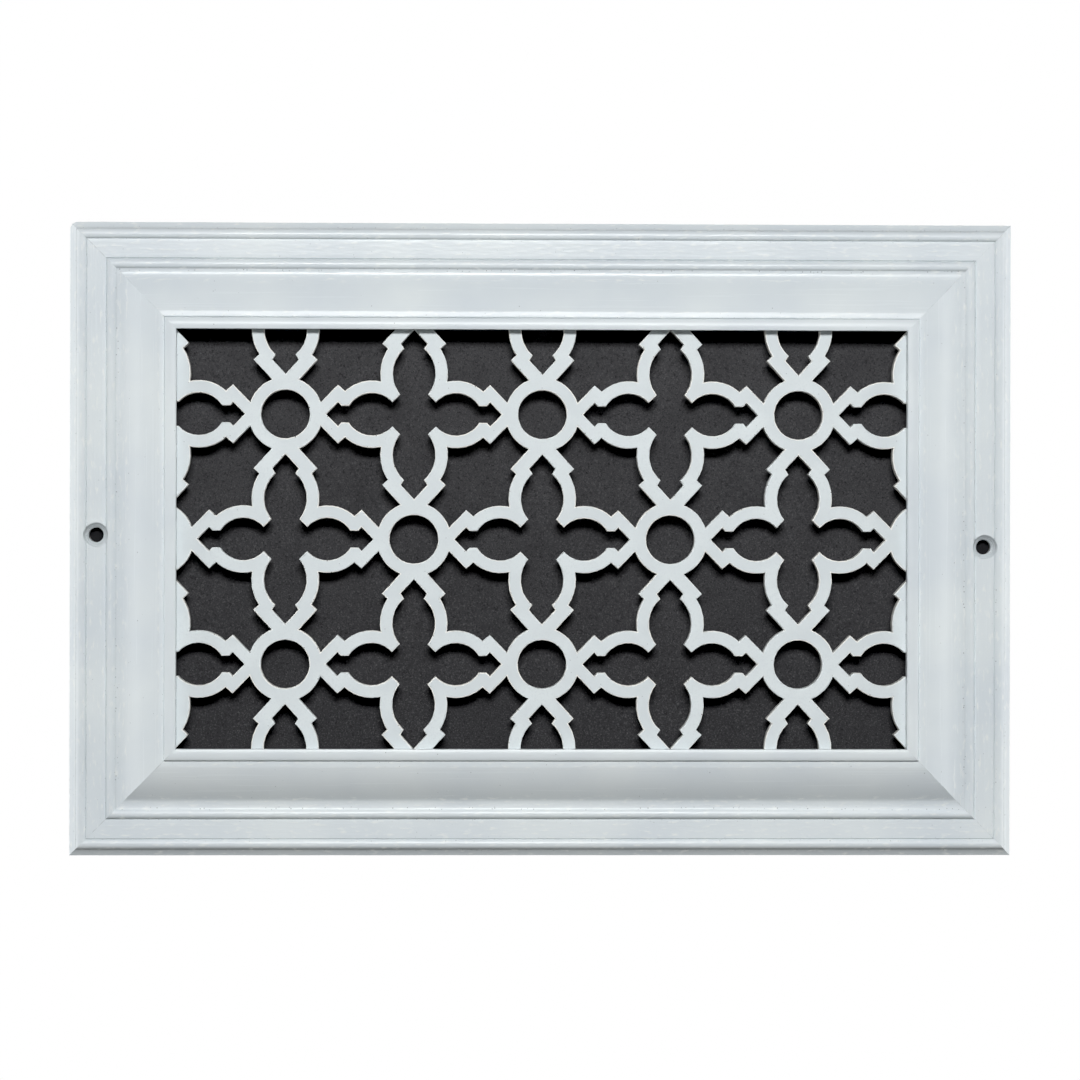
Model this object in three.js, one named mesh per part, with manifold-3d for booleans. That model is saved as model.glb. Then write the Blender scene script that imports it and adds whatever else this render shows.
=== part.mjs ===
// A decorative vent cover: four mitred moulding rails around a flat pierced grille, with a dark filter sheet
// behind. Lengths are in millimetres. X runs across the cover, Z is up, and the front faces -Y. The wall is the
// plane Y = 0, and the origin is the centre of the cover on that plane.

import * as THREE from 'three';
import { mergeVertices } from 'three/addons/utils/BufferGeometryUtils.js';
import loadManifold from 'manifold-3d';

// Outside size of the frame
const coverWidth = 318;
const coverHeight = 213.5;

// Filter sheet, flat on the wall behind the whole frame
const sheetThickness = 1.5;
const sheetInset = 2.5; // from the frame's outer edge

// Moulding: the width of each band, from the outer edge in towards the grille
const outerCoveWidth = 2.2;
const outerBeadWidth = 3.4;
const screwBandWidth = 6.9;
const middleBeadWidth = 3.3;
const hollowWidth = 3.8;
const swellWidth = 11;
const shoulderWidth = 1.8;
const lipStepWidth = 0.2;
const lipWidth = 3.95;

// Moulding: how far its edges stand forward of the frame's back
const outerSideHeight = 1.9;
const outerBeadFootHeight = 3.4;
const screwBandHeight = 4.8;
const hollowHeight = 5.4;
const swellFootHeight = 6.3;
const swellTopHeight = 12.1;
const shoulderTopHeight = 12.5;
const lipFootHeight = 13.5;
const lipInnerHeight = 14.2;

// Moulding: how far each curved band bulges out from, or sinks under, the straight line between its edges
const outerCoveSink = 0.1;
const outerBeadBulge = 1.15;
const middleBeadBulge = 1.1;
const hollowSink = 0.46;
const swellBulge = 0.45;
const lipBulge = 0.2;

// Rebate behind the lip, and the grille panel held in it
const lipThickness = 4.2;
const rebateWidth = 5;
const panelThickness = 5;
const panelClearance = 0.2; // between the panel and each face of the rebate
const mitreGap = 0.3; // between two rails, measured along a rail

// Screw holes, one in each side rail, for a No. 8 countersunk wood screw
const screwHoleDiameter = 5;
const countersinkDiameter = 8.4;
const countersinkRim = 0.3; // height of the straight wall round its edge
const countersinkFall = 1.1; // from the foot of that wall down to the bore
const leftScrewRise = 1.3; // above mid-height
const rightScrewDrop = 2.3; // below mid-height

// Grille pattern: quatrefoils and rings take turns on a grid. Pitches run from a quatrefoil to a ring.
const pitchX = 43.1;
const pitchZ = 41.95;
const strapWidth = 4.2;
const ringHoleRadius = 8.15;
const ringWidth = 4.3;
const windowMargin = 1.2; // how far the openings run on under the lip

// Each lobe of a quatrefoil opening: "along" runs out from its centre, "out" is sideways from its axis.
// Its side swells from a cusp to a notch, then an arrow-shaped tip closes it against the ring.
const uprightLobe = {
  tipGap: 1, // from the tip to the ring's outside
  flankLength: 4.8, // along, from the widest part of the tip back to its point
  tipHalfWidth: 4.4,
  notchLength: 1.7,
  notchHalfWidth: 3.3,
  notchFlat: 0,
  bellyHalfWidth: 7.1,
  cusp: { along: 6.7, out: 4.65 },
  flankStrapWidth: 4.65, // of the strap beside the tip
};
const levelLobe = {
  tipGap: 1.2,
  flankLength: 3.9,
  tipHalfWidth: 4,
  notchLength: 1.1,
  notchHalfWidth: 2.8,
  notchFlat: 2.6,
  bellyHalfWidth: 7.1,
  cusp: { along: 7.3, out: 4.05 },
  flankStrapWidth: 4.1,
};

// Faces used for round stretches
const lobeSteps = 5;
const ringSteps = 24;
const ringCornerSteps = 2;
const holeSteps = 32;
const coveSteps = 3;
const beadSteps = 6;
const hollowSteps = 5;
const swellSteps = 6;

const cutterReach = 2; // how far a cutting tool runs past the material

// Sizes that follow from the ones above
const screwBandStart = outerCoveWidth + outerBeadWidth;
const middleBeadStart = screwBandStart + screwBandWidth;
const hollowStart = middleBeadStart + middleBeadWidth;
const swellStart = hollowStart + hollowWidth;
const shoulderStart = swellStart + swellWidth;
const lipStepStart = shoulderStart + shoulderWidth;
const lipStart = lipStepStart + lipStepWidth;
const railWidth = lipStart + lipWidth;
const screwInset = screwBandStart + screwBandWidth / 2;
const sightHalfWidth = coverWidth / 2 - railWidth;
const sightHalfHeight = coverHeight / 2 - railWidth;
const rebateHeight = lipInnerHeight - lipThickness;
const panelFront = rebateHeight - panelClearance;
const panelBack = panelFront - panelThickness;
const ringRadius = ringHoleRadius + ringWidth;

const whitePaint = new THREE.MeshStandardMaterial({ color: 0xe3e8e7, roughness: 0.42, metalness: 0 });
const darkFelt = new THREE.MeshStandardMaterial({ color: 0x3e3e40, roughness: 0.95, metalness: 0 });

const manifold = await loadManifold();
manifold.setup();

// A closed geometry as a solid that can be joined and cut
function toSolid(geometry) {
  const bare = geometry.clone();
  bare.deleteAttribute('normal');
  bare.deleteAttribute('uv');
  const merged = mergeVertices(bare);
  const mesh = new manifold.Mesh({
    numProp: 3,
    vertProperties: new Float32Array(merged.attributes.position.array),
    triVerts: new Uint32Array(merged.index.array),
  });
  return new manifold.Manifold(mesh);
}

function toGeometry(solid) {
  const { vertProperties, triVerts } = solid.getMesh();
  const geometry = new THREE.BufferGeometry();
  geometry.setAttribute('position', new THREE.BufferAttribute(vertProperties, 3));
  geometry.setIndex(new THREE.BufferAttribute(triVerts, 1));
  geometry.computeVertexNormals();
  return geometry;
}

function namedMesh(name, geometry, material) {
  const mesh = new THREE.Mesh(geometry, material);
  mesh.name = name;
  return mesh;
}

// An outline seen from the front, as a slab between two heights. Height runs forward, towards -Y.
function slab(outline, low, high) {
  const geometry = new THREE.ExtrudeGeometry(new THREE.Shape(outline), {
    depth: high - low,
    bevelEnabled: false,
  });
  geometry.rotateX(Math.PI / 2);
  geometry.translate(0, -low, 0);
  return geometry;
}

function rectangle(halfWidth, halfHeight) {
  return [
    new THREE.Vector2(-halfWidth, -halfHeight),
    new THREE.Vector2(halfWidth, -halfHeight),
    new THREE.Vector2(halfWidth, halfHeight),
    new THREE.Vector2(-halfWidth, halfHeight),
  ];
}

// Points of an arc around a centre, the short way from one point to another. The first point is left out.
function arc(centre, from, to, steps) {
  const start = from.clone().sub(centre);
  const turn = start.angleTo(to.clone().sub(centre)) * Math.sign(start.cross(to.clone().sub(centre)));
  return Array.from({ length: steps }, (_, i) => {
    return start.clone().rotateAround(new THREE.Vector2(), (turn * (i + 1)) / steps).add(centre);
  });
}

// An arc from one point to another that bulges to the left of the straight line between them, or to the
// right where the bulge is negative
function bulging(from, to, bulge, steps) {
  const chord = to.clone().sub(from);
  const leftward = new THREE.Vector2(-chord.y, chord.x).normalize();
  const halfChord = chord.length() / 2;
  const toCentre = (bulge ** 2 - halfChord ** 2) / (2 * bulge);
  const centre = from.clone().add(to).multiplyScalar(0.5).addScaledVector(leftward, toCentre);
  return arc(centre, from, to, steps);
}

// Moulding

// The section of a rail: x is the distance in from the outer edge, y the height forward of the back.
function railSection() {
  const outerEdge = new THREE.Vector2(0, outerSideHeight);
  const outerBead = new THREE.Vector2(outerCoveWidth, outerBeadFootHeight);
  const screwBand = new THREE.Vector2(screwBandStart, screwBandHeight);
  const middleBead = new THREE.Vector2(middleBeadStart, screwBandHeight);
  const hollow = new THREE.Vector2(hollowStart, hollowHeight);
  const swellFoot = new THREE.Vector2(swellStart, swellFootHeight);
  const swellTop = new THREE.Vector2(shoulderStart, swellTopHeight);
  const shoulderTop = new THREE.Vector2(lipStepStart, shoulderTopHeight);
  const lipFoot = new THREE.Vector2(lipStart, lipFootHeight);
  const lipInner = new THREE.Vector2(railWidth, lipInnerHeight);
  return [
    new THREE.Vector2(0, 0),
    outerEdge,
    ...bulging(outerEdge, outerBead, -outerCoveSink, coveSteps),
    ...bulging(outerBead, screwBand, outerBeadBulge, beadSteps),
    middleBead,
    ...bulging(middleBead, hollow, middleBeadBulge, beadSteps),
    ...bulging(hollow, swellFoot, -hollowSink, hollowSteps),
    ...bulging(swellFoot, swellTop, swellBulge, swellSteps),
    shoulderTop,
    lipFoot,
    ...bulging(lipFoot, lipInner, lipBulge, beadSteps),
    new THREE.Vector2(railWidth, rebateHeight),
    new THREE.Vector2(railWidth - rebateWidth, rebateHeight),
    new THREE.Vector2(railWidth - rebateWidth, 0),
  ];
}

// A rail that lies along X below the centre, with its outer edge down. Each end is cut back by the distance
// in from the outer edge, which makes a 45 degree mitre.
function railGeometry(length, outerEdge) {
  const section = new THREE.Shape(railSection());
  const geometry = new THREE.ExtrudeGeometry(section, { depth: 1, bevelEnabled: false });
  const place = geometry.attributes.position;
  for (let i = 0; i < place.count; i += 1) {
    const across = place.getX(i);
    const height = place.getY(i);
    const end = place.getZ(i) > 0.5 ? 1 : -1;
    const along = end * (length / 2 - across - mitreGap / 2);
    place.setXYZ(i, along, -sheetThickness - height, across - outerEdge);
  }
  geometry.computeVertexNormals();
  return geometry;
}

// The tool that makes a screw hole: a bore from the back, a shallow cone, and a cylinder that clears the
// bands beside it
function screwHoleTool() {
  const bore = screwHoleDiameter / 2;
  const rim = countersinkDiameter / 2;
  const rimFoot = screwBandHeight - countersinkRim;
  const profile = [
    new THREE.Vector2(0, -cutterReach),
    new THREE.Vector2(bore, -cutterReach),
    new THREE.Vector2(bore, rimFoot - countersinkFall),
    new THREE.Vector2(rim, rimFoot),
    new THREE.Vector2(rim, lipInnerHeight),
    new THREE.Vector2(0, lipInnerHeight),
  ];
  const geometry = new THREE.LatheGeometry(profile, holeSteps);
  geometry.rotateX(Math.PI);
  geometry.translate(0, -sheetThickness, 0);
  return geometry;
}

function plainRail(name, turn) {
  const rail = namedMesh(name, railGeometry(coverWidth, coverHeight / 2), whitePaint);
  rail.rotation.y = turn;
  return rail;
}

function screwedRail(name, turn, along) {
  const outerEdge = coverWidth / 2;
  const tool = screwHoleTool();
  tool.translate(along, 0, screwInset - outerEdge);
  const cut = toSolid(railGeometry(coverHeight, outerEdge)).subtract(toSolid(tool));
  const rail = namedMesh(name, toGeometry(cut), whitePaint);
  rail.rotation.y = turn;
  return rail;
}

// Grille pattern

// The named points of one lobe, and the circle that its side follows, all as (along, out)
function lobePlan(lobe, pitch) {
  const tip = new THREE.Vector2(pitch - ringRadius - lobe.tipGap, 0);
  const shoulder = new THREE.Vector2(tip.x - lobe.flankLength, lobe.tipHalfWidth);
  const notch = new THREE.Vector2(shoulder.x - lobe.notchLength, lobe.notchHalfWidth);
  const foot = new THREE.Vector2(notch.x - lobe.notchFlat, lobe.notchHalfWidth);
  const cusp = new THREE.Vector2(lobe.cusp.along, lobe.cusp.out);
  const belly = new THREE.Vector2((foot.x + cusp.x) / 2, lobe.bellyHalfWidth);
  const side = circleThrough(foot, belly, cusp);
  const flank = shoulder.clone().sub(tip).normalize();
  const outward = new THREE.Vector2(-flank.y, flank.x).multiplyScalar(-lobe.flankStrapWidth);
  const strapSide = side.radius + strapWidth;
  const outerFootAlong = (foot.x + notch.x) / 2;
  const outerFootOut = heightOnCircle(side.centre, strapSide, outerFootAlong);
  const outerFoot = new THREE.Vector2(outerFootAlong, outerFootOut);
  const outerShoulder = pointOnLine(tip.clone().add(outward), flank, shoulder.x);
  const ringCentre = new THREE.Vector2(pitch, 0);
  const ringCorner = meetCircle(outerShoulder, flank.clone().negate(), ringCentre, ringRadius);
  return { tip, shoulder, notch, foot, cusp, side, strapSide, outerFoot, outerShoulder, ringCorner };
}

// The circle through three points, from where the upright bisectors of its chords meet
function circleThrough(a, b, c) {
  const ab = b.clone().sub(a);
  const ac = c.clone().sub(a);
  const scale = 2 * ab.cross(ac);
  const centre = new THREE.Vector2(
    (ac.y * ab.lengthSq() - ab.y * ac.lengthSq()) / scale,
    (ab.x * ac.lengthSq() - ac.x * ab.lengthSq()) / scale,
  ).add(a);
  return { centre, radius: centre.distanceTo(a) };
}

function heightOnCircle(centre, radius, x) {
  return centre.y + Math.sqrt(radius ** 2 - (x - centre.x) ** 2);
}

function pointOnLine(start, direction, x) {
  return start.clone().addScaledVector(direction, (x - start.x) / direction.x);
}

// Where a ray first meets a circle
function meetCircle(start, direction, centre, radius) {
  const offset = start.clone().sub(centre);
  const ahead = -offset.dot(direction);
  const half = Math.sqrt(radius ** 2 - offset.lengthSq() + ahead ** 2);
  return start.clone().addScaledVector(direction, ahead - half);
}

// Where two circles cross, on the side away from the origin
function crossing(a, radiusA, b, radiusB) {
  const between = b.clone().sub(a);
  const gap = between.length();
  const along = (gap ** 2 + radiusA ** 2 - radiusB ** 2) / (2 * gap);
  const half = Math.sqrt(radiusA ** 2 - along ** 2);
  const axis = between.normalize();
  const upright = new THREE.Vector2(-axis.y, axis.x);
  const middle = a.clone().addScaledVector(axis, along);
  const first = middle.clone().addScaledVector(upright, half);
  const second = middle.clone().addScaledVector(upright, -half);
  return first.lengthSq() > second.lengthSq() ? first : second;
}

const turned = (point) => new THREE.Vector2(point.y, point.x);
const upright = lobePlan(uprightLobe, pitchZ);
const level = lobePlan(levelLobe, pitchX);

// The quarter of a quatrefoil opening from its upper tip round to its right tip
function quarterOpening() {
  const uprightSide = arc(upright.side.centre, upright.foot, upright.cusp, lobeSteps).map(turned);
  const levelSide = arc(level.side.centre, level.cusp, level.foot, lobeSteps);
  return [
    turned(upright.tip),
    turned(upright.shoulder),
    turned(upright.notch),
    ...(uprightLobe.notchFlat > 0 ? [turned(upright.foot)] : []),
    ...uprightSide,
    level.cusp,
    ...levelSide,
    ...(levelLobe.notchFlat > 0 ? [level.notch] : []),
    level.shoulder,
    level.tip,
  ];
}

function quatrefoilOutline() {
  const quarter = quarterOpening();
  const mirrored = (sx, sy) => quarter.map((point) => new THREE.Vector2(sx * point.x, sy * point.y));
  return [
    ...mirrored(1, 1),
    ...mirrored(1, -1).reverse().slice(1),
    ...mirrored(-1, -1).slice(1),
    ...mirrored(-1, 1).reverse().slice(1, -1),
  ];
}

// One lobe alone, run on to the quatrefoil's centre, for a quatrefoil whose centre is under the frame
function lobeOutline(plan, flat) {
  const half = [
    new THREE.Vector2(0, plan.cusp.y),
    plan.cusp,
    ...arc(plan.side.centre, plan.cusp, plan.foot, lobeSteps),
    ...(flat > 0 ? [plan.notch] : []),
    plan.shoulder,
    plan.tip,
  ];
  const other = half.slice(0, -1).reverse();
  return [...half, ...other.map((point) => new THREE.Vector2(point.x, -point.y))];
}

// The star-shaped opening between two quatrefoils and two rings. It looks the same after half a turn.
function starOutline() {
  const uprightCentre = turned(upright.side.centre);
  const corner = crossing(uprightCentre, upright.strapSide, level.side.centre, level.strapSide);
  const strapEdge = [
    turned(upright.outerShoulder),
    turned(upright.outerFoot),
    ...arc(uprightCentre, turned(upright.outerFoot), corner, lobeSteps),
    ...arc(level.side.centre, corner, level.outerFoot, lobeSteps),
    level.outerShoulder,
    level.ringCorner,
  ];
  const acrossCell = (point) => new THREE.Vector2(pitchX - point.x, pitchZ - point.y);
  const ringEnd = acrossCell(turned(upright.ringCorner));
  const ringEdge = arc(new THREE.Vector2(pitchX, 0), level.ringCorner, ringEnd, ringCornerSteps);
  const half = [...strapEdge, ...ringEdge];
  const centre = new THREE.Vector2(pitchX / 2, pitchZ / 2);
  return [...half, ...half.map(acrossCell)].map((point) => point.clone().sub(centre));
}

function ringHoleOutline() {
  return Array.from({ length: ringSteps }, (_, i) => {
    const angle = (2 * Math.PI * i) / ringSteps;
    return new THREE.Vector2(ringHoleRadius * Math.cos(angle), ringHoleRadius * Math.sin(angle));
  });
}

// Every opening of the grille, as outlines in their places
function openings(windowHalfWidth, windowHalfHeight) {
  const outlines = [];
  const place = (outline, x, z, flipX, flipZ) => {
    outlines.push(outline.map((point) => new THREE.Vector2(x + flipX * point.x, z + flipZ * point.y)));
  };
  const levelLobeAlone = lobeOutline(level, levelLobe.notchFlat);
  const uprightLobeAlone = lobeOutline(upright, uprightLobe.notchFlat).map(turned);
  const columns = Math.ceil(windowHalfWidth / pitchX);
  const rows = Math.ceil(windowHalfHeight / pitchZ);
  for (let column = -columns; column <= columns; column += 1) {
    for (let row = -rows; row <= rows; row += 1) {
      const x = column * pitchX;
      const z = row * pitchZ;
      const insideX = Math.abs(x) < windowHalfWidth;
      const insideZ = Math.abs(z) < windowHalfHeight;
      const quatrefoil = (column + row) % 2 === 0;
      if (quatrefoil && insideX && insideZ) place(quatrefoilOutline(), x, z, 1, 1);
      if (quatrefoil && !insideX && insideZ) place(levelLobeAlone, x, z, -Math.sign(x), 1);
      if (quatrefoil && insideX && !insideZ) place(uprightLobeAlone, x, z, 1, -Math.sign(z));
      if (!quatrefoil && insideX && insideZ) place(ringHoleOutline(), x, z, 1, 1);
      const starX = x + pitchX / 2;
      const starZ = z + pitchZ / 2;
      if (Math.abs(starX) < windowHalfWidth && Math.abs(starZ) < windowHalfHeight) {
        place(starOutline(), starX, starZ, quatrefoil ? 1 : -1, 1);
      }
    }
  }
  return outlines;
}

function grillePanel() {
  const panelHalfWidth = sightHalfWidth + rebateWidth - panelClearance;
  const panelHalfHeight = sightHalfHeight + rebateWidth - panelClearance;
  const windowHalfWidth = sightHalfWidth + windowMargin;
  const windowHalfHeight = sightHalfHeight + windowMargin;
  const low = panelBack - cutterReach;
  const high = panelFront + cutterReach;
  const windowSolid = toSolid(slab(rectangle(windowHalfWidth, windowHalfHeight), low, high));
  const outlines = openings(windowHalfWidth, windowHalfHeight);
  const tools = outlines.map((outline) => toSolid(slab(outline, low, high)));
  const allTools = tools.reduce((joined, tool) => joined.add(tool));
  const plate = toSolid(slab(rectangle(panelHalfWidth, panelHalfHeight), panelBack, panelFront));
  const pierced = toGeometry(plate.subtract(allTools.intersect(windowSolid)));
  pierced.translate(0, -sheetThickness, 0);
  return namedMesh('grille_panel', pierced, whitePaint);
}

function filterSheet() {
  const outline = rectangle(coverWidth / 2 - sheetInset, coverHeight / 2 - sheetInset);
  return namedMesh('filter_sheet', slab(outline, 0, sheetThickness), darkFelt);
}

const ventCover = new THREE.Group();
ventCover.add(
  plainRail('frame_bottom', 0),
  plainRail('frame_top', Math.PI),
  screwedRail('frame_left', Math.PI / 2, -leftScrewRise),
  screwedRail('frame_right', -Math.PI / 2, -rightScrewDrop),
  grillePanel(),
  filterSheet(),
);

export default ventCover;
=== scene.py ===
# %% [markdown]
# A decorative vent cover. Four lengths of painted moulding are mitred at the corners and hold a thin panel
# that is pierced with quatrefoils and rings. A sheet of dark felt lies behind them, against the wall. The
# frame that is loaded first has the plain solids, in metres, with X across the cover, Z up and the front
# facing -Y. Each plain solid is replaced here by a finer surface of the same form, worked out with arrays.

# %% Load the frame
import math

import bmesh
import bpy
import numpy as np
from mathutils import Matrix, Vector
from mathutils.geometry import delaunay_2d_cdt


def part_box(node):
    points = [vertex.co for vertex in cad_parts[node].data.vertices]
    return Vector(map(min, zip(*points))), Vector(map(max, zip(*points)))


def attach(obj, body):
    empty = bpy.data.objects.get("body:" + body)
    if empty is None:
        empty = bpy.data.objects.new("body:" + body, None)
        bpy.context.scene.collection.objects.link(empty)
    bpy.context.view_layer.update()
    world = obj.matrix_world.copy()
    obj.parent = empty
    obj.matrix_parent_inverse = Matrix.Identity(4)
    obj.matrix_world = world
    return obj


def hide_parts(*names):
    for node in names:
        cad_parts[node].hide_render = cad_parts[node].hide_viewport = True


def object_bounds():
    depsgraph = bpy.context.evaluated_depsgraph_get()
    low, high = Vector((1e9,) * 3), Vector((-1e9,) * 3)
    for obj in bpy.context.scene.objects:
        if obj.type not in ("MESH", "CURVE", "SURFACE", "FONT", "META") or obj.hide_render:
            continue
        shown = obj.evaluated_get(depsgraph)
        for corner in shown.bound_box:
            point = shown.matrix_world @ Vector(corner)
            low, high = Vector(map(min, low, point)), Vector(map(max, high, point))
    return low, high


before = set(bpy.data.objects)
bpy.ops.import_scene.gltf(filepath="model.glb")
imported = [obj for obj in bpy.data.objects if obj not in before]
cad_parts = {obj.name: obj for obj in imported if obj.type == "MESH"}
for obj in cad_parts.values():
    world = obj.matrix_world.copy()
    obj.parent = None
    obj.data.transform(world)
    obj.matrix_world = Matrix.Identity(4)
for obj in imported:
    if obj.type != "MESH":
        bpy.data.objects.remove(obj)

cad_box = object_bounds()
print("solid model, lowest and highest corner:", [list(corner) for corner in cad_box])

# %% [markdown]
# The camera stands a little over a metre in front, slightly left of the middle, and looks almost square at
# the cover. A long lens keeps the sides of the frame nearly parallel.

# %% Camera
CAMERA_PLACE = (-0.0348, -1.2582, 0.0020)
CAMERA_TURN = math.radians(1.564)
CAMERA_PITCH = math.radians(-0.099)
CAMERA_ROLL = math.radians(0.116)
FOCAL_PIXELS = 3713.5
IMAGE_PIXELS = 1080
SENSOR_WIDTH = 36.0

camera_data = bpy.data.cameras.new("camera")
camera_data.sensor_width = SENSOR_WIDTH
camera_data.lens = FOCAL_PIXELS / IMAGE_PIXELS * SENSOR_WIDTH
camera = bpy.data.objects.new("camera", camera_data)
camera.location = CAMERA_PLACE
camera.rotation_euler = (math.pi / 2 + CAMERA_PITCH, -CAMERA_ROLL, -CAMERA_TURN)
bpy.context.scene.collection.objects.link(camera)
bpy.context.scene.camera = camera
print("lens in millimetres:", round(camera_data.lens, 1))

# %% [markdown]
# Everything below is measured in millimetres and turned to metres at the end. The size of the whole cover
# comes from the solids. A flat shape is an array of complex numbers, because one multiplication then turns
# it, and its real and imaginary parts are its two coordinates.

# %% Sizes of the whole cover
MM = 0.001
cover_size = (np.array(cad_box[1]) - np.array(cad_box[0])) / MM
half_width = cover_size[0] / 2
half_height = cover_size[2] / 2
sheet_front = -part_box("filter_sheet")[0].y / MM
panel_front = -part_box("grille_panel")[0].y / MM
panel_back = -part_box("grille_panel")[1].y / MM
print("cover in mm:", cover_size.round(2), "panel from", round(panel_back, 2), "to", round(panel_front, 2))


# %% Arcs
def arc(centre, start, end, steps):
    """Points of the circle about centre, the short way from start to end: the start's offset from the centre
    is turned by even shares of the angle between the two offsets."""
    turn = np.angle((end - centre) / (start - centre))
    return centre + (start - centre) * np.exp(1j * turn * np.linspace(0, 1, steps + 1))


def bulging(start, end, bulge, steps=24):
    """An arc that rises by bulge to the left of the straight line from start to end. Its centre is on the
    line's upright bisector, at (bulge squared less half the chord squared) over twice the bulge."""
    chord = end - start
    half_chord = abs(chord) / 2
    leftward = 1j * chord / abs(chord)
    centre = (start + end) / 2 + leftward * (bulge**2 - half_chord**2) / (2 * bulge)
    return arc(centre, start, end, steps)


# %% [markdown]
# The moulding was run on a machine, so one section describes a whole rail: from the outer edge in, a cove, a
# bead, the flat band that takes the screws, a second bead, a hollow, the long swelling face, a shoulder, and
# a rounded lip that steps up by a millimetre. Narrow notches set off the flat band and the lip. The section
# could be bevelled edge by edge. It is drawn sharp instead, and then each point is averaged with its
# neighbours, because paint softens every arris by the same small radius.

# %% Section of the moulding
COVE_WIDTH, BEAD_WIDTH, SCREW_BAND_WIDTH, MIDDLE_BEAD_WIDTH = 2.2, 3.4, 6.9, 3.3
HOLLOW_WIDTH, SWELL_WIDTH, SHOULDER_WIDTH, LIP_STEP_WIDTH, LIP_WIDTH = 3.8, 10.7, 2.05, 0.35, 3.75
SIDE_HEIGHT, BEAD_FOOT_HEIGHT, SCREW_BAND_HEIGHT, HOLLOW_HEIGHT, SWELL_FOOT_HEIGHT = 1.9, 3.7, 4.8, 5.4, 6.3
SWELL_TOP_HEIGHT, SHOULDER_TOP_HEIGHT, LIP_FOOT_HEIGHT, LIP_INNER_HEIGHT = 12.3, 12.5, 13.5, 13.95
COVE_SINK, BEAD_BULGE, MIDDLE_BEAD_BULGE, HOLLOW_SINK = 0.1, 1.12, 1.1, 0.46
SWELL_BULGE, SHOULDER_BULGE, LIP_BULGE = 0.55, 0.03, 0.4
SCREW_BAND, LIP_STEP = 2, 7
NOTCH_DEPTH, NOTCH_LOWEST, NOTCH_MOUTH = 0.3, 0.35, 1.2
LIP_BACK_HEIGHT = 9.83
REBATE_WIDTH = 4.9
PAINT_SOFTENING = 0.055

band_widths = [COVE_WIDTH, BEAD_WIDTH, SCREW_BAND_WIDTH, MIDDLE_BEAD_WIDTH]
band_widths += [HOLLOW_WIDTH, SWELL_WIDTH, SHOULDER_WIDTH, LIP_STEP_WIDTH, LIP_WIDTH]
band_edges = np.cumsum([0, *band_widths])
rail_width = band_edges[-1]


def sharp_section():
    """The section as corners and arcs: across from the outer edge is real, height off the back is imaginary.
    A notch drops from a corner at its lowest point, which lies a share of its depth along, and climbs to its
    mouth."""
    heights = [SIDE_HEIGHT, BEAD_FOOT_HEIGHT, SCREW_BAND_HEIGHT, SCREW_BAND_HEIGHT, HOLLOW_HEIGHT]
    heights += [SWELL_FOOT_HEIGHT, SWELL_TOP_HEIGHT, SHOULDER_TOP_HEIGHT, LIP_FOOT_HEIGHT, LIP_INNER_HEIGHT]
    corner = band_edges + 1j * np.array(heights)
    bulges = [-COVE_SINK, BEAD_BULGE, 0, MIDDLE_BEAD_BULGE, -HOLLOW_SINK]
    bulges += [SWELL_BULGE, SHOULDER_BULGE, 0, LIP_BULGE]
    sides = zip(corner, corner[1:], bulges)
    front = [bulging(start, end, bulge) if bulge else np.array([start, end]) for start, end, bulge in sides]
    notch = NOTCH_DEPTH * np.array([NOTCH_LOWEST - 1j, NOTCH_MOUTH])
    outer_notch, inner_notch = corner[SCREW_BAND] + notch, corner[SCREW_BAND + 1] - np.conj(notch)[::-1]
    front[SCREW_BAND] = np.concatenate([outer_notch, inner_notch])
    front[LIP_STEP] = np.array([corner[LIP_STEP], corner[LIP_STEP] + notch[0], corner[LIP_STEP + 1]])
    inner = rail_width - REBATE_WIDTH
    back = [rail_width + 1j * LIP_BACK_HEIGHT, inner + 1j * LIP_BACK_HEIGHT, inner, 0]
    return np.concatenate([*front, back])


# %% Softening a loop
def evenly(loop, spacing):
    """A closed loop walked in even steps: its points are read off at even distances along it."""
    closed = np.append(loop, loop[0])
    walked = np.concatenate([[0], np.cumsum(np.abs(np.diff(closed)))])
    at = np.linspace(0, walked[-1], int(walked[-1] / spacing), endpoint=False)
    return np.interp(at, walked, closed.real) + 1j * np.interp(at, walked, closed.imag)


def softened(loop, radius, spacing):
    """Each point is replaced by a weighted mean of the points round it, with bell-shaped weights."""
    reach = int(4 * radius / spacing)
    weight = np.exp(-0.5 * (np.arange(-reach, reach + 1) * spacing / radius) ** 2)
    padded = np.concatenate([loop[-reach:], loop, loop[:reach]])
    return np.convolve(padded, weight / weight.sum(), "valid")


def thinned(loop, longest, sharpest):
    """Fewer points on a closed loop: each step takes its share of length and of turning, so that flats get
    long steps and curves get short ones."""
    step = np.roll(loop, -1) - loop
    turning = np.abs(np.angle(step / np.roll(step, 1)))
    cost = np.concatenate([[0], np.cumsum(np.abs(step) / longest + turning / sharpest)])
    at = np.linspace(0, cost[-1], int(cost[-1]), endpoint=False)
    closed = np.append(loop, loop[0])
    return np.interp(at, cost, closed.real) + 1j * np.interp(at, cost, closed.imag)


# %% Softened section
FINE_STEP = 0.02
LONGEST_STEP = 1.3
SHARPEST_TURN = math.radians(11)
fine_section = softened(evenly(sharp_section(), FINE_STEP), PAINT_SOFTENING, FINE_STEP)
section = thinned(fine_section, LONGEST_STEP, SHARPEST_TURN)
print("rail", round(rail_width, 2), "mm wide, section of", len(section), "points")


# %% Meshes from arrays
def mesh_object(name, points, faces):
    """A mesh object at the origin from points in millimetres, with its faces turned outwards."""
    mesh = bpy.data.meshes.new(name)
    mesh.from_pydata(points * MM, [], faces)
    made = bmesh.new()
    made.from_mesh(mesh)
    bmesh.ops.recalc_face_normals(made, faces=made.faces)
    made.to_mesh(mesh)
    made.free()
    mesh.validate()
    thing = bpy.data.objects.new(name, mesh)
    bpy.context.scene.collection.objects.link(thing)
    return thing


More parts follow.
